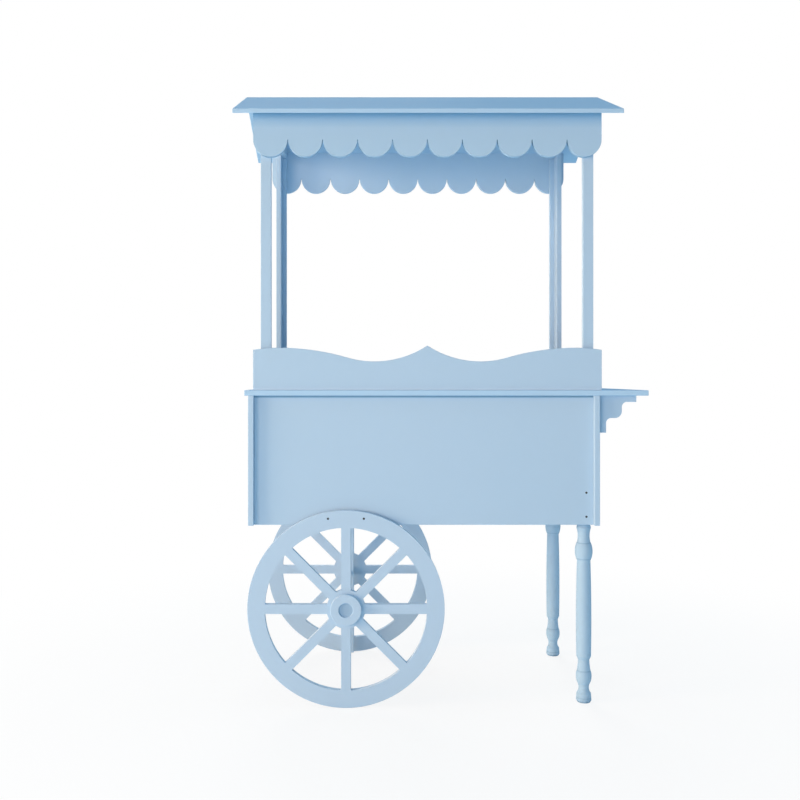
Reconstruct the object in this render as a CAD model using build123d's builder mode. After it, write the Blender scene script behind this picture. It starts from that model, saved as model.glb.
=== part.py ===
from build123d import *
import os
from math import cos, radians, sin, tan

# A candy cart: a painted board cabinet on two spoked wheels and two turned legs,
# with a serving top that runs on as a side shelf and a gabled canopy on four posts.
# X runs along the counter with the side shelf at +X, -Y is the serving front,
# Z is up, and the origin is on the floor under the middle of the whole cart.
# All sizes are in millimetres.

os.makedirs("parts", exist_ok=True)

# Boards and fits
board = 16.0
edge_break = 1.0
seat_gap = 0.05
running_gap = 0.4
notch_gap = 0.3

# Cabinet and counter
table_height = 933.0
cabinet_length = 1035.0
cabinet_depth = 576.0
cabinet_height = 382.5
panel_recess = 18.0
counter_overhang = 11.0
shelf_length = 143.0
back_rail_height = 120.0
back_top_rail_height = 40.0
cleat_size = 20.0

# Side shelf brackets
bracket_reach = 112.5
bracket_drop = 110.0
bracket_setback = 20.0
bracket_tip_height = 19.0
bracket_foot_width = 23.0
bracket_cove_radius = 15.0
bracket_scroll_radius = 20.0
bracket_scroll_reach = 69.5
bracket_scroll_drop = 66.5

# Spoked wheels
wheel_radius = 290.0
wheel_board = 18.0
wheel_panel_gap = 3.0
wheel_from_end = 288.0
rim_width = 51.0
spoke_count = 8
spoke_width = 28.0
flange_radius = 57.0
web_fillet = 2.5
hub_disc_radius = 45.5
hub_recess_radius = 21.0
hub_recess_depth = 6.0
hub_cap_thickness = 3.0

# Axle and the square legs that carry it
axle_radius = 6.0
axle_stub = 6.0
axle_end_break = 1.5
bush_wall = 3.0
spacer_radius = 12.0
clip_radius = 11.0
clip_thickness = 5.0
wheel_leg_width = 28.0
wheel_leg_floor_gap = 10.0

# Blocks and bolts that hold the turned legs
leg_block_width = 40.0
leg_block_height = 117.0
leg_bolt_radius = 4.0
leg_bolt_in_leg = 40.0
leg_bolt_in_block = 60.0

# Turned legs, radii of the turning and heights of its stations
leg_neck_radius = 18.5
leg_collar_radius = 21.3
leg_collar_drop = 13.5
leg_upper_cove_radius = 17.4
leg_upper_cove_drop = 35.5
leg_upper_bead_drop = 58.5
leg_upper_bead_start_radius = 20.4
leg_upper_bead_radius = 26.1
leg_upper_bead_middle = 85.5
leg_shaft_drop = 111.5
leg_shaft_top_radius = 19.8
leg_shaft_middle_radius = 22.5
leg_shaft_foot_radius = 21.6
leg_shaft_foot_height = 137.0
leg_lower_neck_radius = 16.7
leg_lower_neck_height = 126.0
leg_lower_cove_radius = 17.6
leg_lower_cove_height = 111.0
leg_lower_bead_height = 91.0
leg_lower_bead_start_radius = 20.6
leg_lower_bead_radius = 23.1
leg_lower_bead_middle = 75.0
leg_lower_bead_end_radius = 17.2
leg_lower_bead_end = 54.0
leg_ankle_radius = 15.2
leg_ankle_height = 44.0
leg_foot_radius = 21.3
leg_foot_height = 26.0
leg_toe_radius = 22.8
leg_toe_height = 6.0
leg_base_radius = 19.0
leg_bead_step = 0.7

# Flush screws
screw_radius = 2.0
screw_head_radius = 3.4
screw_head_angle = 90.0
leg_screw_length = 30.0
leg_screw_low = 24.0
leg_screw_pitch = 71.0
rim_screw_length = 15.0
rim_screw_inset = 19.0
rim_screw_angle = 11.2

# Canopy
canopy_shift = 10.5
canopy_depth = 556.0
scallop_count = 10
scallop_pitch = 103.0
scallop_gap = 2.0
valance_band = 67.5
post_span = 987.0
post_face_width = 31.0
post_side_depth = 50.0
eave_height = 1740.0
roof_length = 1140.0
roof_depth = 632.0
roof_pitch = 22.1
roof_board = 12.0
ridge_batten_width = 36.0
ridge_batten_depth = 40.0

# Wavy front board on the counter
parapet_length = 1029.0
parapet_end_height = 119.0
parapet_hump_height = 125.5
parapet_hump_place = 440.0
parapet_turn_place = 235.0
parapet_valley_height = 85.0
parapet_valley_place = 157.0
parapet_peak_height = 132.0

# Places along the cart, with the origin under the middle of its whole length
left_reach = max(roof_length / 2 - canopy_shift, cabinet_length / 2 + counter_overhang)
right_reach = max(roof_length / 2 + canopy_shift, cabinet_length / 2 + shelf_length)
cabinet_x = (left_reach - right_reach) / 2
canopy_x = cabinet_x + canopy_shift
cabinet_left = cabinet_x - cabinet_length / 2
cabinet_right = cabinet_x + cabinet_length / 2
inside_left = cabinet_left + board
inside_right = cabinet_right - board
wheel_x = cabinet_left + wheel_from_end
leg_x = inside_right - leg_block_width / 2

# Places across the cart, as distances from its middle plane
side_face = cabinet_depth / 2
panel_face = side_face - panel_recess
panel_back = panel_face - board
leg_y = panel_back - leg_block_width / 2
wheel_back = panel_face + wheel_panel_gap
wheel_face = wheel_back + wheel_board
hub_face = wheel_face + board
axle_half = wheel_face + axle_stub
canopy_face = canopy_depth / 2
post_face = canopy_face - board
post_inside = post_face - board

# Heights
counter_under = table_height - board
cabinet_bottom = counter_under - cabinet_height
scallop_cusp = eave_height - valance_band
roof_slope = tan(radians(roof_pitch))
ridge_under = eave_height + roof_depth / 2 * roof_slope

ends = {"front": -1, "rear": 1}
flanks = {"left": -1, "right": 1}


def save(piece, name):
    """Name a finished piece and write it to its own file."""
    piece.part.label = name
    export_step(piece.part, f"parts/{name}.step")


def outer_plane(end, x, distance, z):
    """An upright plane across the cart that faces outwards at the front or the rear."""
    return Plane(origin=(x, end * distance, z), x_dir=(-end, 0, 0), z_dir=(0, end, 0))


def roof_under(distance):
    """Height of the roof's underside at a distance from the ridge."""
    return ridge_under - distance * roof_slope


def plank(name, x_span, y_span, z_span):
    """A rectangular board between two corners, its edges eased for paint."""
    centre = tuple((low + high) / 2 for low, high in (x_span, y_span, z_span))
    size = [high - low for low, high in (x_span, y_span, z_span)]
    with BuildPart() as piece:
        with Locations(centre):
            Box(*size)
        chamfer(piece.edges(), length=edge_break)
    save(piece, name)


def countersinks(seats):
    """Cut through holes with a tapered mouth at each seat plane of the open part."""
    with Locations(*seats):
        CounterSinkHole(
            screw_radius + seat_gap, screw_head_radius + seat_gap, counter_sink_angle=screw_head_angle
        )


def flush_screws(name, seats, length):
    """Flush screws with a tapered head, one at each seat plane."""
    top = (Align.CENTER, Align.CENTER, Align.MAX)
    head_depth = (screw_head_radius - screw_radius) / tan(radians(screw_head_angle / 2))
    with BuildPart() as piece:
        with Locations(*seats):
            Cylinder(screw_radius, length, align=top)
            Cone(screw_radius, screw_head_radius, head_depth, align=top)
    save(piece, name)


# Cabinet ends: full depth panels that carry the counter
panel_height = (cabinet_bottom, counter_under)
plank("left_side_panel", (cabinet_left, inside_left), (-side_face, side_face), panel_height)
plank("right_side_panel", (inside_right, cabinet_right), (-side_face, side_face), panel_height)

# Counter: one board whose right end runs on as the side shelf
plank(
    "tabletop",
    (cabinet_left - counter_overhang, cabinet_right + shelf_length),
    (-side_face, side_face),
    (counter_under, table_height),
)

# Cabinet front and lower back rail: set back between the ends, each screwed to a leg block
leg_screw_heights = [cabinet_bottom + leg_screw_low + row * leg_screw_pitch for row in (0, 1)]
panels = {"front": ("front_panel", cabinet_height), "rear": ("rear_bottom_rail", back_rail_height)}
for end_name, end in ends.items():
    panel_name, panel_rise = panels[end_name]
    leg_screw_seats = [outer_plane(end, leg_x, panel_face, height) for height in leg_screw_heights]
    with BuildPart() as panel:
        with BuildSketch(outer_plane(end, cabinet_x, panel_face, cabinet_bottom)):
            Rectangle(inside_right - inside_left, panel_rise, align=(Align.CENTER, Align.MIN))
        extrude(amount=-board)
        chamfer(panel.edges(), length=edge_break)
        countersinks(leg_screw_seats)
    save(panel, panel_name)
    flush_screws(f"{end_name}_leg_screws", leg_screw_seats, leg_screw_length)

# Top rail of the open back, and the battens that tie the counter to the panels
plank(
    "rear_top_rail",
    (inside_left, inside_right),
    (panel_back, panel_face),
    (counter_under - back_top_rail_height, counter_under),
)
cleat_span = (counter_under - cleat_size, counter_under)
plank("left_top_cleat", (inside_left, inside_left + cleat_size), (-panel_back, panel_back), cleat_span)
plank("right_top_cleat", (inside_right - cleat_size, inside_right), (-panel_back, panel_back), cleat_span)
plank(
    "front_top_cleat",
    (inside_left + cleat_size, inside_right - cleat_size),
    (-panel_back, cleat_size - panel_back),
    cleat_span,
)

# Cabinet floor: notched round the wheel legs and the leg blocks
with BuildPart() as bottom_board:
    with BuildSketch(Plane.XY.offset(cabinet_bottom)):
        with Locations((cabinet_x, 0)):
            Rectangle(inside_right - inside_left, 2 * panel_back)
        with Locations((wheel_x, -panel_back), (wheel_x, panel_back)):
            Rectangle(
                wheel_leg_width + 2 * notch_gap, 2 * (wheel_leg_width + notch_gap), mode=Mode.SUBTRACT
            )
        with Locations((inside_right, -panel_back), (inside_right, panel_back)):
            Rectangle(
                2 * (leg_block_width + notch_gap), 2 * (leg_block_width + notch_gap), mode=Mode.SUBTRACT
            )
    extrude(amount=board)
    chamfer(bottom_board.edges().filter_by(Axis.Z, reverse=True), length=edge_break)
save(bottom_board, "bottom_board")

# Shelf brackets: sawn to a cove, a round scroll and a second cove
for end_name, end in ends.items():
    bracket_corner = (cabinet_right, end * (side_face - bracket_setback), counter_under)
    tip = (bracket_scroll_reach + bracket_cove_radius, -bracket_tip_height)
    tip_cove_end = (bracket_scroll_reach, tip[1] - bracket_cove_radius)
    scroll_start = (bracket_scroll_reach, bracket_scroll_radius - bracket_scroll_drop)
    scroll_end = (bracket_scroll_reach - bracket_scroll_radius, -bracket_scroll_drop)
    foot_cove = (bracket_foot_width + bracket_cove_radius, -bracket_scroll_drop)
    foot_top = (bracket_foot_width, -bracket_scroll_drop - bracket_cove_radius)
    with BuildPart() as bracket:
        with BuildSketch(Plane(origin=bracket_corner, x_dir=(1, 0, 0), z_dir=(0, -1, 0))):
            with BuildLine():
                Polyline(tip, (bracket_reach, tip[1]), (bracket_reach, 0), (0, 0))
                Polyline((0, 0), (0, -bracket_drop), (bracket_foot_width, -bracket_drop), foot_top)
                TangentArc(tip, tip_cove_end, tangent=(-1, 0))
                Line(tip_cove_end, scroll_start)
                TangentArc(scroll_start, scroll_end, tangent=(0, -1))
                Line(scroll_end, foot_cove)
                TangentArc(foot_cove, foot_top, tangent=(-1, 0))
            make_face()
        extrude(amount=end * board)
        chamfer(bracket.edges().filter_by(Axis.Y, reverse=True), length=edge_break)
    save(bracket, f"{end_name}_shelf_bracket")

# Wheel legs: square posts from inside the cabinet down to just above the floor
for end_name, end in ends.items():
    with BuildPart() as wheel_leg:
        with BuildSketch(outer_plane(end, wheel_x, panel_back, wheel_leg_floor_gap)):
            Rectangle(
                wheel_leg_width,
                cabinet_bottom + leg_block_height - wheel_leg_floor_gap,
                align=(Align.CENTER, Align.MIN),
            )
        extrude(amount=-wheel_leg_width)
        chamfer(wheel_leg.edges(), length=edge_break)
        with Locations(outer_plane(end, wheel_x, panel_back, wheel_radius)):
            Hole(axle_radius + seat_gap)
    save(wheel_leg, f"{end_name}_wheel_leg")

# Axle: a steel rod through both wheel legs, on which the wheels turn
with BuildPart() as axle:
    with BuildSketch(outer_plane(ends["front"], wheel_x, axle_half, wheel_radius)):
        Circle(axle_radius)
    extrude(amount=-2 * axle_half)
    chamfer(axle.edges(), length=axle_end_break)
save(axle, "axle")

# Wheels: each cut flat from one board, with a bush, a raised hub disc and a plug over the axle end
rim_inner = wheel_radius - rim_width
bush_radius = axle_radius + seat_gap + bush_wall
for end_name, end in ends.items():
    rim_screw_seats = [
        outer_plane(
            end,
            wheel_x + turn * (wheel_radius - rim_screw_inset) * sin(radians(rim_screw_angle)),
            wheel_face,
            wheel_radius + (wheel_radius - rim_screw_inset) * cos(radians(rim_screw_angle)),
        )
        for turn in (-1, 1)
    ]
    with BuildPart() as wheel:
        with BuildSketch(outer_plane(end, wheel_x, wheel_face, wheel_radius)) as wheel_outline:
            Circle(wheel_radius)
            Circle(rim_inner, mode=Mode.SUBTRACT)
            with PolarLocations(0, spoke_count):
                Rectangle(rim_inner + rim_width / 2, spoke_width, align=(Align.MIN, Align.CENTER))
            Circle(flange_radius)
            window_corners = wheel_outline.vertices().filter_by(
                lambda corner: corner.center().length < wheel_radius - rim_width / 2
            )
            fillet(window_corners, radius=web_fillet)
            Circle(bush_radius + seat_gap, mode=Mode.SUBTRACT)
        extrude(amount=-wheel_board)
        rim_edges = wheel.edges().filter_by(GeomType.CIRCLE).sort_by(SortBy.RADIUS)[-2:]
        chamfer(rim_edges, length=edge_break)
        countersinks(rim_screw_seats)
    save(wheel, f"{end_name}_wheel")
    flush_screws(f"{end_name}_rim_screws", rim_screw_seats, rim_screw_length)

    with BuildPart() as wheel_bush:
        with BuildSketch(outer_plane(end, wheel_x, wheel_face, wheel_radius)):
            Circle(bush_radius)
            Circle(axle_radius + seat_gap, mode=Mode.SUBTRACT)
        extrude(amount=-wheel_board)
    save(wheel_bush, f"{end_name}_wheel_bush")

    with BuildPart() as hub_disc:
        with BuildSketch(outer_plane(end, wheel_x, wheel_face, wheel_radius)):
            Circle(hub_disc_radius)
            Circle(hub_recess_radius, mode=Mode.SUBTRACT)
        extrude(amount=board)
        outward = Axis((0, 0, 0), (0, end, 0))
        chamfer(hub_disc.faces().sort_by(outward)[-1].edges(), length=edge_break)
    save(hub_disc, f"{end_name}_hub_disc")

    with BuildPart() as hub_cap:
        with BuildSketch(outer_plane(end, wheel_x, hub_face - hub_recess_depth, wheel_radius)):
            Circle(hub_recess_radius - seat_gap)
        extrude(amount=-hub_cap_thickness)
    save(hub_cap, f"{end_name}_hub_cap")

    with BuildPart() as axle_spacer:
        with BuildSketch(outer_plane(end, wheel_x, panel_back, wheel_radius)):
            Circle(spacer_radius)
            Circle(axle_radius + seat_gap, mode=Mode.SUBTRACT)
        extrude(amount=wheel_back - running_gap - panel_back)
    save(axle_spacer, f"{end_name}_axle_spacer")

    with BuildPart() as axle_clip:
        with BuildSketch(outer_plane(end, wheel_x, wheel_face + running_gap, wheel_radius)):
            Circle(clip_radius)
            Circle(axle_radius + seat_gap, mode=Mode.SUBTRACT)
        extrude(amount=clip_thickness)
    save(axle_clip, f"{end_name}_axle_clip")

# Turned legs: each turned from one piece of wood and bolted up into a block inside the cabinet
leg_length = cabinet_bottom
leg_shaft_top = leg_length - leg_shaft_drop
leg_shaft_middle = (leg_shaft_top + leg_shaft_foot_height) / 2
for end_name, end in ends.items():
    leg_plane = Plane(origin=(leg_x, end * leg_y, 0), x_dir=(1, 0, 0), z_dir=(0, -1, 0))
    with BuildPart() as turned_leg:
        with BuildSketch(leg_plane):
            with BuildLine():
                collar = (leg_collar_radius, leg_length - leg_collar_drop)
                upper_bead = (leg_upper_bead_start_radius, leg_length - leg_upper_bead_drop)
                shaft_top = (leg_shaft_top_radius, leg_shaft_top)
                shaft_foot = (leg_shaft_foot_radius, leg_shaft_foot_height)
                lower_neck = (leg_lower_neck_radius, leg_lower_neck_height)
                lower_bead = (leg_lower_bead_start_radius, leg_lower_bead_height)
                lower_bead_end = (leg_lower_bead_end_radius, leg_lower_bead_end)
                foot = (leg_foot_radius, leg_foot_height)
                toe = (leg_toe_radius, leg_toe_height)
                Polyline((0, leg_length), (leg_neck_radius, leg_length), collar)
                ThreePointArc(collar, (leg_upper_cove_radius, leg_length - leg_upper_cove_drop), upper_bead)
                upper_bead_edge = (upper_bead[0] + leg_bead_step, upper_bead[1])
                Line(upper_bead, upper_bead_edge)
                ThreePointArc(
                    upper_bead_edge, (leg_upper_bead_radius, leg_length - leg_upper_bead_middle), shaft_top
                )
                ThreePointArc(shaft_top, (leg_shaft_middle_radius, leg_shaft_middle), shaft_foot)
                Line(shaft_foot, lower_neck)
                ThreePointArc(lower_neck, (leg_lower_cove_radius, leg_lower_cove_height), lower_bead)
                lower_bead_edge = (lower_bead[0] + leg_bead_step, lower_bead[1])
                Line(lower_bead, lower_bead_edge)
                ThreePointArc(
                    lower_bead_edge, (leg_lower_bead_radius, leg_lower_bead_middle), lower_bead_end
                )
                ThreePointArc(lower_bead_end, (leg_ankle_radius, leg_ankle_height), foot)
                Polyline(foot, toe, (leg_base_radius, 0), (0, 0), (0, leg_length))
            make_face()
        revolve(axis=Axis((leg_x, end * leg_y, 0), (0, 0, 1)))
        with Locations((leg_x, end * leg_y, leg_length)):
            Hole(leg_bolt_radius + seat_gap, depth=leg_bolt_in_leg + notch_gap)
    save(turned_leg, f"{end_name}_turned_leg")

    with BuildPart() as leg_block:
        with BuildSketch(Plane.XY.offset(cabinet_bottom)):
            with Locations((leg_x, end * leg_y)):
                Rectangle(leg_block_width, leg_block_width)
        extrude(amount=leg_block_height)
        chamfer(leg_block.edges(), length=edge_break)
        with Locations(Plane(origin=(leg_x, end * leg_y, cabinet_bottom), z_dir=(0, 0, -1))):
            Hole(leg_bolt_radius + seat_gap, depth=leg_bolt_in_block + notch_gap)
        pilot_depth = leg_screw_length - board + notch_gap
        with Locations(*[outer_plane(end, leg_x, panel_back, height) for height in leg_screw_heights]):
            Hole(screw_radius + seat_gap, depth=pilot_depth)
    save(leg_block, f"{end_name}_leg_block")

    with BuildPart() as leg_bolt:
        with BuildSketch(Plane.XY.offset(cabinet_bottom - leg_bolt_in_leg)):
            with Locations((leg_x, end * leg_y)):
                Circle(leg_bolt_radius)
        extrude(amount=leg_bolt_in_leg + leg_bolt_in_block)
        chamfer(leg_bolt.edges(), length=edge_break)
    save(leg_bolt, f"{end_name}_leg_bolt")

# Wavy front board: two shallow valleys beside a pointed middle, low humps towards the ends
with BuildPart() as parapet:
    with BuildSketch(outer_plane(ends["front"], canopy_x, canopy_face, table_height)):
        with BuildLine():
            half_length = parapet_length / 2
            valley = (parapet_valley_place, parapet_valley_height)
            hump = (parapet_hump_place, parapet_hump_height)
            end_top = (half_length, parapet_end_height)
            turn_share = (parapet_turn_place - valley[0]) / (hump[0] - valley[0])
            turn = (parapet_turn_place, valley[1] + turn_share * (hump[1] - valley[1]))
            TangentArc(valley, (0, parapet_peak_height), tangent=(-1, 0))
            TangentArc(valley, turn, tangent=(1, 0))
            TangentArc(hump, turn, tangent=(-1, 0))
            TangentArc(hump, end_top, tangent=(1, 0))
            Polyline(end_top, (half_length, 0), (0, 0), (0, parapet_peak_height))
        make_face()
        mirror(about=Plane.YZ)
    extrude(amount=-board)
    chamfer(parapet.edges().filter_by(Axis.Y, reverse=True), length=edge_break)
save(parapet, "parapet")

# Posts: two strips in an L at each corner, cut to the slope of the roof
for end_name, end in ends.items():
    for flank_name, flank in flanks.items():
        strips = {
            "face": (post_face, post_inside, post_span / 2 - post_face_width / 2, post_face_width),
            "side": (post_inside, post_inside - post_side_depth, post_span / 2 - board / 2, board),
        }
        for strip_name, (outer, inner, centre, width) in strips.items():
            with BuildPart() as strip:
                with BuildSketch(Plane.YZ.offset(canopy_x + flank * centre)):
                    with BuildLine():
                        Polyline(
                            (end * outer, table_height),
                            (end * outer, roof_under(outer)),
                            (end * inner, roof_under(inner)),
                            (end * inner, table_height),
                            close=True,
                        )
                    make_face()
                extrude(amount=width / 2, both=True)
                chamfer(strip.edges(), length=edge_break)
            save(strip, f"{end_name}_{flank_name}_post_{strip_name}")

# Valances: a plain band over a row of round scallops, the top edge bevelled to the roof
scallop_width = scallop_pitch - scallop_gap
valance_length = scallop_count * scallop_pitch - scallop_gap
for end_name, end in ends.items():
    with BuildPart() as valance:
        with BuildSketch(outer_plane(end, canopy_x, canopy_face, scallop_cusp)):
            Rectangle(valance_length, ridge_under - scallop_cusp, align=(Align.CENTER, Align.MIN))
            with GridLocations(scallop_pitch, 0, scallop_count, 1):
                Circle(scallop_width / 2)
        extrude(amount=-board)
        slope = Plane(
            origin=(0, end * roof_depth / 2, eave_height),
            x_dir=(1, 0, 0),
            z_dir=(0, end * sin(radians(roof_pitch)), cos(radians(roof_pitch))),
        )
        split(bisect_by=slope, keep=Keep.BOTTOM)
    save(valance, f"{end_name}_valance")

# Gable boards: low triangles between the posts that carry the roof boards
gable_face = post_span / 2 - board
for flank_name, flank in flanks.items():
    with BuildPart() as gable:
        with BuildSketch(Plane.YZ.offset(canopy_x + flank * (gable_face - board / 2))):
            with BuildLine():
                Polyline(
                    (-post_inside, eave_height),
                    (-post_inside, roof_under(post_inside)),
                    (0, ridge_under),
                    (post_inside, roof_under(post_inside)),
                    (post_inside, eave_height),
                    close=True,
                )
            make_face()
        extrude(amount=board / 2, both=True)
        chamfer(gable.edges(), length=edge_break)
    save(gable, f"{flank_name}_gable")

# Ridge batten: ties the two roof boards together between the gable boards
with BuildPart() as ridge_batten:
    with BuildSketch(Plane.YZ.offset(canopy_x)):
        with BuildLine():
            batten_half = ridge_batten_width / 2
            Polyline(
                (-batten_half, ridge_under - ridge_batten_depth),
                (-batten_half, roof_under(batten_half)),
                (0, ridge_under),
                (batten_half, roof_under(batten_half)),
                (batten_half, ridge_under - ridge_batten_depth),
                close=True,
            )
        make_face()
    extrude(amount=gable_face - board, both=True)
    chamfer(ridge_batten.edges(), length=edge_break)
save(ridge_batten, "ridge_batten")

# Roof boards: two slopes with plumb-cut edges that meet at the ridge
roof_rise = roof_board / cos(radians(roof_pitch))
for end_name, end in ends.items():
    with BuildPart() as roof_slope_board:
        with BuildSketch(Plane.YZ.offset(canopy_x)):
            with BuildLine():
                eave = end * roof_depth / 2
                Polyline(
                    (eave, eave_height),
                    (0, ridge_under),
                    (0, ridge_under + roof_rise),
                    (eave, eave_height + roof_rise),
                    close=True,
                )
            make_face()
        extrude(amount=roof_length / 2, both=True)
        chamfer(roof_slope_board.edges(), length=edge_break)
    save(roof_slope_board, f"{end_name}_roof_board")
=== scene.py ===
import math

import bpy
import numpy as np
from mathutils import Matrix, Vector


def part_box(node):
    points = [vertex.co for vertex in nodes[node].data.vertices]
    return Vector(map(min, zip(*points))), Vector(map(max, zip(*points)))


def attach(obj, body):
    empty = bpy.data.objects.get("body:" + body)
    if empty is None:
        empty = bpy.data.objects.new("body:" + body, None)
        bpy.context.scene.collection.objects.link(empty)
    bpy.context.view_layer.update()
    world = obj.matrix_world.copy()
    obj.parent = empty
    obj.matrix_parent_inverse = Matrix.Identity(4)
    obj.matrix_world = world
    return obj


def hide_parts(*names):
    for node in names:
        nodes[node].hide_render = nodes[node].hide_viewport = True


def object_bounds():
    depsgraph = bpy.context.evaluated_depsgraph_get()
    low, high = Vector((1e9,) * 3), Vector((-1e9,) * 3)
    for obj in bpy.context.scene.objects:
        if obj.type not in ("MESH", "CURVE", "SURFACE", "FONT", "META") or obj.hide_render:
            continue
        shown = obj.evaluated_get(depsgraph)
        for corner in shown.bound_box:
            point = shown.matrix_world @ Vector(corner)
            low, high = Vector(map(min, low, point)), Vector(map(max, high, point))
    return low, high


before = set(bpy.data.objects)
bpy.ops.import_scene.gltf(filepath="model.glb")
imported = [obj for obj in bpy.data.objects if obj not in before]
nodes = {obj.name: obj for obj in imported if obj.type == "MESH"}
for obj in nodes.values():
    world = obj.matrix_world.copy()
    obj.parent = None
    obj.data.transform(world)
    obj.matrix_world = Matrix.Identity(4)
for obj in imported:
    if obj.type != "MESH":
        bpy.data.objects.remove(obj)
solid_low, solid_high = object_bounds()


# Cabinet, counter and shelf brackets
# Boards of dense fibreboard, glued and screwed from inside, then sprayed with pastel blue satin paint.
# The film has a faint orange peel and drifts a little in tone, and shade is painted darker into the inner
# corners. The front panel has a painted shadow under the counter's lip, and the counter is a touch bluer.
CABINET_BOARDS = (
    "left_side_panel", "right_side_panel", "rear_bottom_rail", "rear_top_rail",
    "left_top_cleat", "right_top_cleat", "front_top_cleat", "bottom_board",
    "front_leg_block", "rear_leg_block", "front_shelf_bracket", "rear_shelf_bracket",
)
PASTEL_BLUE = (0.43, 0.59, 0.74, 1.0)
DEEPER_BLUE = (0.40, 0.57, 0.72, 1.0)
TRIM_BLUE = (0.412, 0.61, 0.795, 1.0)
TRIM_SHADE = (0.383, 0.589, 0.772, 1.0)
# Painted shade: the film darkens toward this colour in inner corners, within this reach.
CORNER_SHADE_BLUE = (0.36, 0.53, 0.69, 1.0)
CORNER_SHADE_REACH = 0.02
# Painted shadow on the front panel in a band just under the counter's lip, between these depths below its
# top.
LIP_SHADOW_BLUE = (0.17, 0.32, 0.45, 1.0)
LIP_FOOT = 0.0085
LIP_HEAD = 0.0035
DRIFT_SCALE = 1.7
DRIFT_SHARE = 0.7
MOTTLE_SCALE = 26.0
MOTTLE_SHARE = 0.3
PEEL_SCALE = 420.0
PEEL_STRENGTH = 0.5
PEEL_DEPTH = 0.00012
BROAD_DETAIL = 2.0
FINE_DETAIL = 3.0
PEEL_DETAIL = 1.5
# Painted shade on up-facing faces: where it starts and is full, and its least and mottled share.
TOP_SHADE_START = 0.6
TOP_SHADE_FULL = 0.9
TOP_SHADE_LEAST = 0.8
TOP_SHADE_MOTTLE = 0.2
SAWN_LIMIT = 0.5
CORNER_RAYS = 8
SATIN_ROUGHNESS = 0.56
MOTTLE_ROUGHNESS = 0.12
SATIN_GLOSS = 0.04
MATT_GLOSS = 0.0


class Wire:
    """A node socket. Arithmetic on it adds the Math nodes that work the expression out."""

    def __init__(self, tree, socket=None):
        self.tree = tree
        self.socket = socket

    def node(self, kind, settings=None, values=None, output=0):
        """Add a node of this kind, set it up, fill or link its inputs, and wrap one of its outputs."""
        made = self.tree.nodes.new(kind)
        for name, setting in (settings or {}).items():
            setattr(made, name, setting)
        for name, value in (values or {}).items():
            if isinstance(value, Wire):
                self.tree.links.new(value.socket, made.inputs[name])
            else:
                made.inputs[name].default_value = value
        return Wire(self.tree, made.outputs[output] if made.outputs else None)

    def math(self, operation, first, second=0.0):
        return self.node("ShaderNodeMath", {"operation": operation}, {0: first, 1: second})

    def axis(self, name):
        """The X, Y or Z of a vector."""
        return self.node("ShaderNodeSeparateXYZ", {}, {"Vector": self}, output=name)

    def __add__(self, other):
        return self.math("ADD", self, other)

    def __radd__(self, other):
        return self.math("ADD", other, self)

    def __sub__(self, other):
        return self.math("SUBTRACT", self, other)

    def __rsub__(self, other):
        return self.math("SUBTRACT", other, self)

    def __mul__(self, other):
        return self.math("MULTIPLY", self, other)

    def __rmul__(self, other):
        return self.math("MULTIPLY", other, self)


def new_material(name):
    """An empty node material, a wire that adds nodes to it, and the place on the piece in metres."""
    material = bpy.data.materials.new(name)
    material.use_nodes = True
    material.node_tree.nodes.clear()
    wire = Wire(material.node_tree)
    return material, wire, wire.node("ShaderNodeTexCoord", output="Object")


def blend_colours(wire, share, first, second):
    """The first colour where share is 0, the second where it is 1.

    The Mix node's sockets for colours share their names with others, so they go by number.
    """
    return wire.node("ShaderNodeMix", {"data_type": "RGBA"}, {0: share, 6: first, 7: second}, output=2)


def cloud(wire, place, scale, detail):
    """Soft noise from 0 to 1, with about scale blotches to the metre."""
    return wire.node("ShaderNodeTexNoise", {}, {"Vector": place, "Scale": scale, "Detail": detail})


def ramp(wire, value, start, stop):
    """A straight rise from 0 at start to 1 at stop, level outside them."""
    return wire.node("ShaderNodeMapRange", {}, {"Value": value, "From Min": start, "From Max": stop})


def openness(wire, reach):
    """1 where nothing stands within reach of the surface, less in a corner."""
    return wire.node(
        "ShaderNodeAmbientOcclusion", {"samples": CORNER_RAYS}, {"Distance": reach}, output="AO"
    )


def relief(wire, height, strength, depth):
    """The normal of a surface that rises by depth where height goes from 0 to 1."""
    return wire.node("ShaderNodeBump", {}, {"Strength": strength, "Distance": depth, "Height": height})


def finish_material(wire, sockets):
    """Join one Principled surface with these socket values to the material's output."""
    surface = wire.node("ShaderNodeBsdfPrincipled", {}, sockets)
    wire.node("ShaderNodeOutputMaterial", {}, {"Surface": surface})


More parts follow.
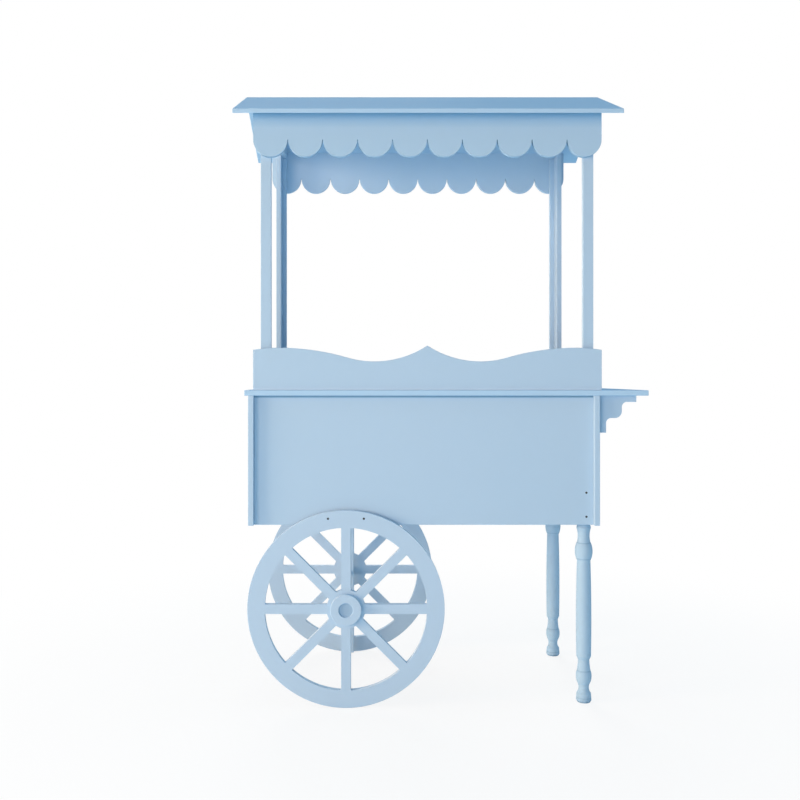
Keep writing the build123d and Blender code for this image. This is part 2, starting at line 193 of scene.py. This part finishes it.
def satin_paint(
    name,
    film_colours=(PASTEL_BLUE, DEEPER_BLUE),
    peel_scale=PEEL_SCALE,
    drift_scale=DRIFT_SCALE,
    corner=(CORNER_SHADE_BLUE, CORNER_SHADE_REACH),
    top_shade_colour=None,
    edge_light_colour=None,
    band=None,
    gloss=SATIN_GLOSS,
):
    """Sprayed satin paint: broad drift of tone, painted shade in inner corners, orange peel as bump.

    A top colour is painted shade on faces that look up, from none to full as the normal's z goes
    from its start to its full limit. An edge colour is painted light, a paler tone on sawn edges,
    where the normal's y is under SAWN_LIMIT. A band is a colour that comes in with height, none at
    its start and full at its stop.
    """
    material, wire, place = new_material(name)
    drift = cloud(wire, place, drift_scale, BROAD_DETAIL)
    mottle = cloud(wire, place, MOTTLE_SCALE, FINE_DETAIL)
    peel = cloud(wire, place, peel_scale, PEEL_DETAIL)
    colour = blend_colours(wire, drift * DRIFT_SHARE + mottle * MOTTLE_SHARE, *film_colours)
    # Painted shade on faces that look up.
    if top_shade_colour:
        upward = wire.node("ShaderNodeNewGeometry", output="Normal").axis("Z")
        top_shaded = ramp(wire, upward, TOP_SHADE_START, TOP_SHADE_FULL)
        colour = blend_colours(wire, top_shaded * (TOP_SHADE_LEAST + mottle * TOP_SHADE_MOTTLE), colour, top_shade_colour)
    # Painted light: sawn edges turn to a paler tone.
    if edge_light_colour:
        across = wire.math("ABSOLUTE", wire.node("ShaderNodeNewGeometry", output="Normal").axis("Y"))
        colour = blend_colours(wire, wire.math("LESS_THAN", across, SAWN_LIMIT), colour, edge_light_colour)
    # Painted shade: the film turns to the corner colour where other surfaces stand close.
    if corner:
        corner_shade_colour, corner_shade_reach = corner
        colour = blend_colours(wire, openness(wire, corner_shade_reach), corner_shade_colour, colour)
    if band:
        start, stop, band_colour = band
        colour = blend_colours(wire, ramp(wire, place.axis("Z"), start, stop), colour, band_colour)
    finish_material(
        wire,
        {
            "Base Color": colour,
            "Roughness": SATIN_ROUGHNESS + mottle * MOTTLE_ROUGHNESS,
            "Specular IOR Level": gloss,
            "Normal": relief(wire, peel, PEEL_STRENGTH, PEEL_DEPTH),
        },
    )
    return material


def dress(names, material):
    """Give CAD nodes a material in place of the plain one they were packed with."""
    for name in names:
        mesh = nodes[name].data
        mesh.materials.clear()
        mesh.materials.append(material)


dress(CABINET_BOARDS, satin_paint("cabinet_paint"))
panel_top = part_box("front_panel")[1][2]
# Painted shadow: a darker band on the front panel under the counter's lip.
lip_shadow_band = (panel_top - LIP_FOOT, panel_top - LIP_HEAD, LIP_SHADOW_BLUE)
dress(("front_panel",), satin_paint("panel_paint", corner=None, band=lip_shadow_band))
counter_paint = satin_paint("counter_paint", (TRIM_BLUE, TRIM_SHADE), gloss=MATT_GLOSS)
dress(("tabletop",), counter_paint)


# Wheels
# Each is sawn flat from one board with eight spokes, carries a raised hub disc over the axle end, and is
# sprayed a touch paler than the cabinet. The sawn edges are painted paler still, as painted light, and the
# plug in each hub is painted a deeper blue, as painted shade in its recess. The square legs behind them
# have the cabinet's paint.
WHEEL_NODES = ("front_wheel", "rear_wheel", "front_hub_disc", "rear_hub_disc")
WHEEL_LEGS = ("front_wheel_leg", "rear_wheel_leg")
WHEEL_BLUE = (0.45, 0.60, 0.745, 1.0)
WHEEL_SHADE = (0.42, 0.58, 0.725, 1.0)
# Painted shade: the hub plug is a deeper blue that stands in for shade in its recess.
PLUG_RECESS_SHADE = (0.32, 0.47, 0.62, 1.0)
PLUG_RECESS_SHADE_DEEPER = (0.29, 0.44, 0.59, 1.0)
# Painted light for the wheels' sawn edges.
PAINTED_EDGE_LIGHT = (0.55, 0.69, 0.81, 1.0)
WHEEL_PEEL = 460.0
WHEEL_DRIFT = 3.0
PLUG_DRIFT = 30.0
wheel_paint = satin_paint(
    "wheel_paint", (WHEEL_BLUE, WHEEL_SHADE), WHEEL_PEEL, WHEEL_DRIFT, edge_light_colour=PAINTED_EDGE_LIGHT
)
dress(WHEEL_NODES, wheel_paint)
wheel_leg_paint = satin_paint("wheel_leg_paint", peel_scale=WHEEL_PEEL, drift_scale=WHEEL_DRIFT)
dress(WHEEL_LEGS, wheel_leg_paint)
# Painted shade on each hub plug.
plug_recess_shade_paint = satin_paint("plug_recess_shade_paint", (PLUG_RECESS_SHADE, PLUG_RECESS_SHADE_DEEPER), drift_scale=PLUG_DRIFT)
dress(("front_hub_cap", "rear_hub_cap"), plug_recess_shade_paint)


# Axle, clips, spacers, bushes and leg bolts
# A drawn steel rod with push-on rings, sprayed with the legs where it crosses under the cabinet and
# bare in its nylon sleeves and spacers. The bolts that hold the turned legs are of the same steel.
STEEL_GREY = (0.55, 0.56, 0.57, 1.0)
STEEL_DARK = (0.36, 0.37, 0.38, 1.0)
NYLON_WHITE = (0.75, 0.74, 0.70, 1.0)
NYLON_SHADE = (0.66, 0.65, 0.60, 1.0)
AXLE_PAINT_REACH = 0.226
DRAWN_STRETCH = (900.0, 14.0, 900.0)
PAINTED_ROUGHNESS = 0.55
BARE_SMOOTHNESS = 0.3
LINE_ROUGHNESS = 0.2
MILK_SCALE = 60.0
TURNED_SCALE = 1400.0
NYLON_ROUGHNESS = 0.5
MILK_ROUGHNESS = 0.1
FINE_STRENGTH = 0.3
FINE_DEPTH = 0.00005


def stretch(wire, place, scale):
    """The place scaled along each axis, so that a cloud of scale 1 has that many blotches to the metre."""
    return wire.node("ShaderNodeMapping", {}, {"Vector": place, "Scale": scale})


def drawn_steel(name, paint_reach=0.0):
    """Bright drawn bar with fine lines along it, painted where it lies within paint_reach of y = 0."""
    material, wire, place = new_material(name)
    lines = cloud(wire, stretch(wire, place, DRAWN_STRETCH), 1.0, FINE_DETAIL)
    bare = wire.math("GREATER_THAN", wire.math("ABSOLUTE", place.axis("Y")), paint_reach)
    steel = blend_colours(wire, lines, STEEL_DARK, STEEL_GREY)
    finish_material(
        wire,
        {
            "Base Color": blend_colours(wire, bare, PASTEL_BLUE, steel),
            "Metallic": bare,
            "Roughness": PAINTED_ROUGHNESS - bare * BARE_SMOOTHNESS + lines * LINE_ROUGHNESS,
            "Normal": relief(wire, lines, FINE_STRENGTH, FINE_DEPTH),
        },
    )
    return material


def natural_nylon(name):
    """Turned nylon: milky, with faint cloudy tone and a matt, finely scored skin."""
    material, wire, place = new_material(name)
    milk = cloud(wire, place, MILK_SCALE, FINE_DETAIL)
    skin = cloud(wire, place, TURNED_SCALE, BROAD_DETAIL)
    finish_material(
        wire,
        {
            "Base Color": blend_colours(wire, milk, NYLON_SHADE, NYLON_WHITE),
            "Roughness": NYLON_ROUGHNESS + milk * MILK_ROUGHNESS,
            "Normal": relief(wire, skin, FINE_STRENGTH, FINE_DEPTH),
        },
    )
    return material


dress(("axle",), drawn_steel("axle_finish", AXLE_PAINT_REACH))
dress(
    ("front_axle_clip", "rear_axle_clip", "front_leg_bolt", "rear_leg_bolt"),
    drawn_steel("plain_steel_finish"),
)
dress(
    ("front_axle_spacer", "rear_axle_spacer", "front_wheel_bush", "rear_wheel_bush"),
    natural_nylon("nylon_finish"),
)


# Turned legs
# Each is turned from one length of beech, scored round the beads, sanded on the lathe, sprayed and bolted
# up into its block. The tool's rings stay just visible, and painted shade darkens the scores and coves.
LEG_BLUE = (0.375, 0.545, 0.69, 1.0)
LEG_SHADE = (0.345, 0.52, 0.67, 1.0)
# Painted shade for the coves and scores, and how far the cove shade reaches.
COVE_SHADE_BLUE = (0.22, 0.36, 0.50, 1.0)
COVE_SHADE_REACH = 0.03
SCORE_HEIGHTS = (0.0139, 0.0941, 0.4286, 0.4762)
SCORE_HALF_WIDTH = 0.0026
# Share of painted shade in the scores.
SCORE_SHADE_TONE = 0.55
SCORE_DEPTH = 4.0
RING_STRETCH = (6.0, 6.0, 600.0)
RING_STRENGTH = 0.4
RING_DEPTH = 0.0001
LEG_DRIFT = 4.0
LEG_MOTTLE = 40.0
LEG_ROUGHNESS = 0.52
LEG_GLOSS = 0.06


def turned_paint(name):
    """Deeper cabinet paint on turned wood: faint rings, and painted shade in coves and in scores at set
    heights.
    """
    material, wire, place = new_material(name)
    height = place.axis("Z")
    scored = 0.0
    for score in SCORE_HEIGHTS:
        offset = wire.math("ABSOLUTE", height - score)
        scored = wire.math("MAXIMUM", 1.0 - offset * (1.0 / SCORE_HALF_WIDTH), scored)
    rings = cloud(wire, stretch(wire, place, RING_STRETCH), 1.0, BROAD_DETAIL)
    drift = cloud(wire, place, LEG_DRIFT, BROAD_DETAIL)
    mottle = cloud(wire, place, LEG_MOTTLE, FINE_DETAIL)
    film = blend_colours(wire, drift * DRIFT_SHARE + mottle * MOTTLE_SHARE, LEG_BLUE, LEG_SHADE)
    # Painted shade in the scores.
    score_shaded = blend_colours(wire, scored * SCORE_SHADE_TONE, film, COVE_SHADE_BLUE)
    finish_material(
        wire,
        {
            "Base Color": blend_colours(wire, openness(wire, COVE_SHADE_REACH), COVE_SHADE_BLUE, score_shaded),
            "Roughness": LEG_ROUGHNESS + mottle * MOTTLE_ROUGHNESS,
            "Specular IOR Level": LEG_GLOSS,
            "Normal": relief(wire, rings - scored * SCORE_DEPTH, RING_STRENGTH, RING_DEPTH),
        },
    )
    return material


dress(("front_turned_leg", "rear_turned_leg"), turned_paint("leg_paint"))


# Flush screws
# Black countersunk wood screws with a cross recess, turned from wire and blackened. Two go through
# each panel into its leg block and two into each wheel rim, driven until the head is flush.
SCREW_BLACK = (0.012, 0.016, 0.026, 1.0)
SCREW_WORN = (0.05, 0.055, 0.065, 1.0)
HEAD_RADIUS = 0.0034
SHANK_RADIUS = 0.002
TIP_RADIUS = 0.0004
TIP_LENGTH = 0.004
CROSS_REACH = 0.0021
CROSS_HALF_WIDTH = 0.00045
CROSS_BEVEL = 0.00025
CROSS_DEPTH = 0.0011
SCREW_STEPS = 48
HEAD_RINGS = 24
WORN_SCALE = 700.0
SCREW_METAL = 0.6
SCREW_ROUGHNESS = 0.4
WORN_ROUGHNESS = 0.2


def black_oxide(name):
    """Blackened steel: a dark film with slightly paler, rougher patches where it is worn."""
    material, wire, place = new_material(name)
    worn = cloud(wire, place, WORN_SCALE, FINE_DETAIL)
    finish_material(
        wire,
        {
            "Base Color": blend_colours(wire, worn, SCREW_BLACK, SCREW_WORN),
            "Metallic": SCREW_METAL,
            "Roughness": SCREW_ROUGHNESS + worn * WORN_ROUGHNESS,
            "Normal": relief(wire, worn, FINE_STRENGTH, FINE_DEPTH),
        },
    )
    return material


def cross_screw(length):
    """Points, bands of quads and fans of triangles of one screw that points down from a head at height 0.

    Each ring of radius r and height h holds the points (r cos a, r sin a, h). On the head h is -d c, with
    c = max(b(x, y), b(y, x)) and b(u, v) = s(reach - |u|) s(width - |v|), where s rises from 0 to 1 over
    a bevel.
    """
    turns = np.linspace(0.0, 2.0 * math.pi, SCREW_STEPS + 1)[:-1]
    rings = np.linspace(0.0, HEAD_RADIUS, HEAD_RINGS + 1)[1:]
    cone = HEAD_RADIUS - SHANK_RADIUS
    radius = np.concatenate([rings, [SHANK_RADIUS, SHANK_RADIUS, TIP_RADIUS]])
    height = np.concatenate([0.0 * rings, [-cone, TIP_LENGTH - length, -length]])
    x, y = np.outer(radius, np.cos(turns)), np.outer(radius, np.sin(turns))

    def bar(along, across):
        rise = np.clip((CROSS_REACH - abs(along)) / CROSS_BEVEL, 0.0, 1.0)
        return rise * np.clip((CROSS_HALF_WIDTH - abs(across)) / CROSS_BEVEL, 0.0, 1.0)

    on_head = (height == 0.0)[:, None]
    z = height[:, None] - CROSS_DEPTH * np.maximum(bar(x, y), bar(y, x)) * on_head
    ends = np.array([[0.0, 0.0, -CROSS_DEPTH], [0.0, 0.0, -length]])
    points = np.vstack([np.stack([x, y, z], axis=-1).reshape(-1, 3), ends])
    step = np.arange(SCREW_STEPS)
    after = (step + 1) % SCREW_STEPS
    upper = np.arange(len(radius) - 1)[:, None] * SCREW_STEPS
    lower = upper + SCREW_STEPS
    bands = np.stack([upper + step, lower + step, lower + after, upper + after], axis=-1)
    last = (len(radius) - 1) * SCREW_STEPS
    top = np.column_stack([np.full(SCREW_STEPS, len(points) - 2), step, after])
    tip = np.column_stack([np.full(SCREW_STEPS, len(points) - 1), last + after, last + step])
    return points, bands.reshape(-1, 4), np.vstack([top, tip])


def screw_pair(node, end, body, material):
    """Two cross-recess screws in place of a packed pair, one at each end of the longer side of its box."""
    low, high = (np.array(corner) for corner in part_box(node))
    points, bands, fans = cross_screw(high[1] - low[1])
    middle = (low + high) / 2
    half = (high - low) / 2 * (1.0, 0.0, 1.0)
    spread = np.where(half == half.max(), half - HEAD_RADIUS, 0.0)
    seat = np.array([middle[0], low[1] if end < 0 else high[1], middle[2]])
    turned = np.column_stack([-end * points[:, 0], end * points[:, 2], points[:, 1]])
    both = np.vstack([turned + seat - spread, turned + seat + spread])
    both_bands = np.vstack([bands, bands + len(points)])
    both_fans = np.vstack([fans, fans + len(points)])
    mesh = bpy.data.meshes.new(f"{node}_cross")
    mesh.from_pydata(both.tolist(), [], both_bands.tolist() + both_fans.tolist())
    mesh.materials.append(material)
    screws = bpy.data.objects.new(f"{node}_cross", mesh)
    bpy.context.scene.collection.objects.link(screws)
    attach(screws, body)
    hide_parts(node)


screw_finish = black_oxide("screw_black_finish")
for end_name, end in (("front", -1), ("rear", 1)):
    screw_pair(f"{end_name}_leg_screws", end, "cart", screw_finish)
    screw_pair(f"{end_name}_rim_screws", end, f"{end_name}_wheel_set", screw_finish)


# Canopy and front board
# Posts of two strips glued in an L, scalloped valances, gable boards, a ridge batten and two roof boards,
# and the wavy board along the counter's front edge, all sprayed like the cabinet, with painted light along
# the wavy board's foot. The front valance's film is a shaded copy of the paint, with painted shade under
# the eave, and the roof's upper faces carry painted shade in a deeper blue.
POST_STRIPS = [
    f"{end}_{flank}_post_{strip}"
    for end in ("front", "rear")
    for flank in ("left", "right")
    for strip in ("face", "side")
]
CANOPY_BOARDS = ("rear_valance", "left_gable", "right_gable", "ridge_batten")
# Painted light: the wavy board turns paler along its foot, lifting the shade where it meets the counter.
FOOT_PAINTED_LIGHT = (0.53, 0.70, 0.86, 1.0)
FOOT_LIGHT_HEIGHT = 0.008
FOOT_LIGHT_FULL = 0.0025
# Painted shade for the roof boards' upper faces, a deeper blue.
ROOF_TOP_SHADE = (0.34, 0.59, 0.82, 1.0)
# Reach of painted shade in the canopy's inner corners.
SLIM_SHADE_REACH = 0.008
# Painted shade: the front valance's film is a shaded, less red copy of the paint, as under the eave.
VALANCE_SHADED_BLUE = (0.39, 0.57, 0.735, 1.0)
VALANCE_SHADED_DEEPER = (0.365, 0.55, 0.715, 1.0)
# Painted shade on the front valance under the eave, and how far below it reaches.
EAVE_SHADE_BLUE = (0.11, 0.30, 0.47, 1.0)
EAVE_SHADE_REACH = 0.045
CANOPY_DRIFT = 1.3
canopy_paint = satin_paint("canopy_paint", drift_scale=CANOPY_DRIFT, corner=(CORNER_SHADE_BLUE, SLIM_SHADE_REACH))
dress([*POST_STRIPS, *CANOPY_BOARDS], canopy_paint)
# Painted light along the foot of the wavy board.
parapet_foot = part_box("parapet")[0][2]
foot_light_band = (parapet_foot + FOOT_LIGHT_HEIGHT, parapet_foot + FOOT_LIGHT_FULL, FOOT_PAINTED_LIGHT)
dress(("parapet",), satin_paint("parapet_paint", corner=None, band=foot_light_band))
valance_paint = satin_paint(
    "valance_paint",
    (VALANCE_SHADED_BLUE, VALANCE_SHADED_DEEPER),
    drift_scale=CANOPY_DRIFT,
    corner=(EAVE_SHADE_BLUE, EAVE_SHADE_REACH),
)
dress(("front_valance",), valance_paint)
roof_paint = satin_paint(
    "roof_paint", (TRIM_BLUE, TRIM_SHADE), drift_scale=CANOPY_DRIFT, top_shade_colour=ROOF_TOP_SHADE
)
dress(("front_roof_board", "rear_roof_board"), roof_paint)


# Studio
# A pale floor that runs on into a white backdrop. A small soft lamp stands near at counter height, broader
# ones stand in front, at the left and behind, a weak one at the right, the light from straight above is
# blue, and the camera is level with the counter's front board.
FLOOR_RINGS = (0.5, 1.0, 2.0, 4.0, 14.0)
FLOOR_STEPS = 64
FLOOR_PALE = (0.80, 0.92, 0.96, 1.0)
BACKDROP_WHITE = (1.0, 1.0, 1.0, 1.0)
SEEN_PAPER = (1.0, 0.98, 0.94, 1.0)
SHADOW_SHARE = 0.16
SHADOW_NEAR = 0.7
SHADOW_FAR = 2.2
HORIZON_LEVEL = 0.02
ZENITH_BLUE = (0.47, 0.76, 1.0, 1.0)
ZENITH_LEVEL = 1.3
ZENITH_START = 0.5
# Each lamp's name, degrees left of the front, degrees up, distance and size in metres, watts and colour.
SOFT_LAMPS = (
    ("low_softbox", 8.0, -2.0, 3.4, 1.2, 22.5, (0.86, 0.94, 1.0)),
    ("front_softbox", 36.0, 3.3, 13.5, 5.0, 700.0, (1.0, 0.71, 0.58)),
    ("left_softbox", 72.0, 7.0, 13.5, 4.8, 1560.0, (1.0, 0.71, 0.49)),
    ("rear_softbox", 169.0, 18.0, 9.0, 5.0, 525.0, (1.0, 0.91, 0.83)),
    ("right_softbox", -88.0, 8.0, 9.0, 4.0, 140.0, (0.86, 0.94, 1.0)),
)
CAMERA_PLACE = (-0.2093, -3.018, 0.969)
CAMERA_SENSOR = 36.0
CAMERA_LENS = 41.80
CAMERA_SHIFT = (0.0375, -0.0275)


def seen_directly(wire):
    """1 for rays that show the backdrop to the camera, straight or by gloss or glass, else 0."""
    camera, gloss, glass = (
        wire.node("ShaderNodeLightPath", output=f"Is {way} Ray")
        for way in ("Camera", "Glossy", "Transmission")
    )
    return wire.math("MAXIMUM", camera, wire.math("MAXIMUM", gloss, glass))


def studio_floor():
    """A disc on z = 0, as rings of points r (cos a, sin a), pale to light and white to the camera."""
    turns = np.linspace(0.0, 2.0 * math.pi, FLOOR_STEPS + 1)[:-1]
    x, y = np.outer(FLOOR_RINGS, np.cos(turns)), np.outer(FLOOR_RINGS, np.sin(turns))
    points = np.vstack([np.zeros((1, 3)), np.stack([x, y, 0.0 * x], axis=-1).reshape(-1, 3)])
    step = np.arange(FLOOR_STEPS)
    after = (step + 1) % FLOOR_STEPS
    fan = np.column_stack([0 * step, 1 + step, 1 + after])
    inner = 1 + np.arange(len(FLOOR_RINGS) - 1)[:, None] * FLOOR_STEPS
    outer = inner + FLOOR_STEPS
    bands = np.stack([inner + step, outer + step, outer + after, inner + after], axis=-1)
    mesh = bpy.data.meshes.new("studio_floor")
    mesh.from_pydata(points.tolist(), [], fan.tolist() + bands.reshape(-1, 4).tolist())
    floor = bpy.data.objects.new("studio_floor", mesh)
    bpy.context.scene.collection.objects.link(floor)
    material, wire, place = new_material("floor_paper")
    distance = wire.node("ShaderNodeVectorMath", {"operation": "LENGTH"}, {0: place}, output="Value")
    fade = wire.node(
        "ShaderNodeMapRange",
        {"interpolation_type": "SMOOTHSTEP"},
        {
            "Value": distance,
            "From Min": SHADOW_NEAR,
            "From Max": SHADOW_FAR,
            "To Min": SHADOW_SHARE,
            "To Max": 0.0,
        },
    )
    paper = wire.node("ShaderNodeBsdfDiffuse", {}, {"Color": FLOOR_PALE})
    seen_paper = wire.node("ShaderNodeBsdfDiffuse", {}, {"Color": SEEN_PAPER})
    white = wire.node("ShaderNodeEmission", {}, {"Color": BACKDROP_WHITE, "Strength": 1.0})
    shown = wire.node("ShaderNodeMixShader", {}, {0: fade, 1: white, 2: seen_paper})
    surface = wire.node("ShaderNodeMixShader", {}, {0: seen_directly(wire), 1: paper, 2: shown})
    wire.node("ShaderNodeOutputMaterial", {}, {"Surface": surface})
    mesh.materials.append(material)


def backdrop():
    """A world that is white where it is seen, and dim but for blue light from above where it lights."""
    world = bpy.data.worlds.new("studio_world")
    world.use_nodes = True
    world.node_tree.nodes.clear()
    wire = Wire(world.node_tree)
    height = wire.node("ShaderNodeTexCoord", output="Generated").axis("Z")
    rise = wire.node(
        "ShaderNodeMapRange",
        {"interpolation_type": "SMOOTHSTEP"},
        {"Value": height, "From Min": ZENITH_START, "From Max": 1.0},
    )
    horizon = wire.node("ShaderNodeBackground", {}, {"Color": BACKDROP_WHITE, "Strength": HORIZON_LEVEL})
    zenith = wire.node("ShaderNodeBackground", {}, {"Color": ZENITH_BLUE, "Strength": ZENITH_LEVEL})
    sky = wire.node("ShaderNodeMixShader", {}, {0: rise, 1: horizon, 2: zenith})
    white = wire.node("ShaderNodeBackground", {}, {"Color": BACKDROP_WHITE, "Strength": 1.0})
    shown = wire.node("ShaderNodeMixShader", {}, {0: seen_directly(wire), 1: sky, 2: white})
    wire.node("ShaderNodeOutputWorld", {}, {"Surface": shown})
    bpy.context.scene.world = world


def soft_lamp(name, place, way, size, power, colour):
    """A square lamp of this size at place, that faces the way given."""
    data = bpy.data.lights.new(name, "AREA")
    data.shape = "SQUARE"
    data.size = size
    data.energy = power
    data.color = colour
    lamp = bpy.data.objects.new(name, data)
    lamp.location = place
    lamp.rotation_euler = way.to_track_quat("-Z", "Y").to_euler()
    bpy.context.scene.collection.objects.link(lamp)


studio_floor()
backdrop()
middle = Vector((solid_low + solid_high) / 2)
for name, turn, rise, distance, size, power, colour in SOFT_LAMPS:
    across, up = math.radians(turn), math.radians(rise)
    way = Vector((math.cos(up) * math.sin(across), math.cos(up) * math.cos(across), -math.sin(up)))
    soft_lamp(name, middle - distance * way, way, size, power, colour)

camera_data = bpy.data.cameras.new("front_camera")
camera_data.sensor_width = CAMERA_SENSOR
camera_data.lens = CAMERA_LENS
camera_data.shift_x, camera_data.shift_y = CAMERA_SHIFT
camera = bpy.data.objects.new("front_camera", camera_data)
camera.location = CAMERA_PLACE
camera.rotation_euler = (math.radians(90.0), 0.0, 0.0)
bpy.context.scene.collection.objects.link(camera)
bpy.context.scene.camera = camera
bpy.context.scene.view_settings.view_transform = "Standard"
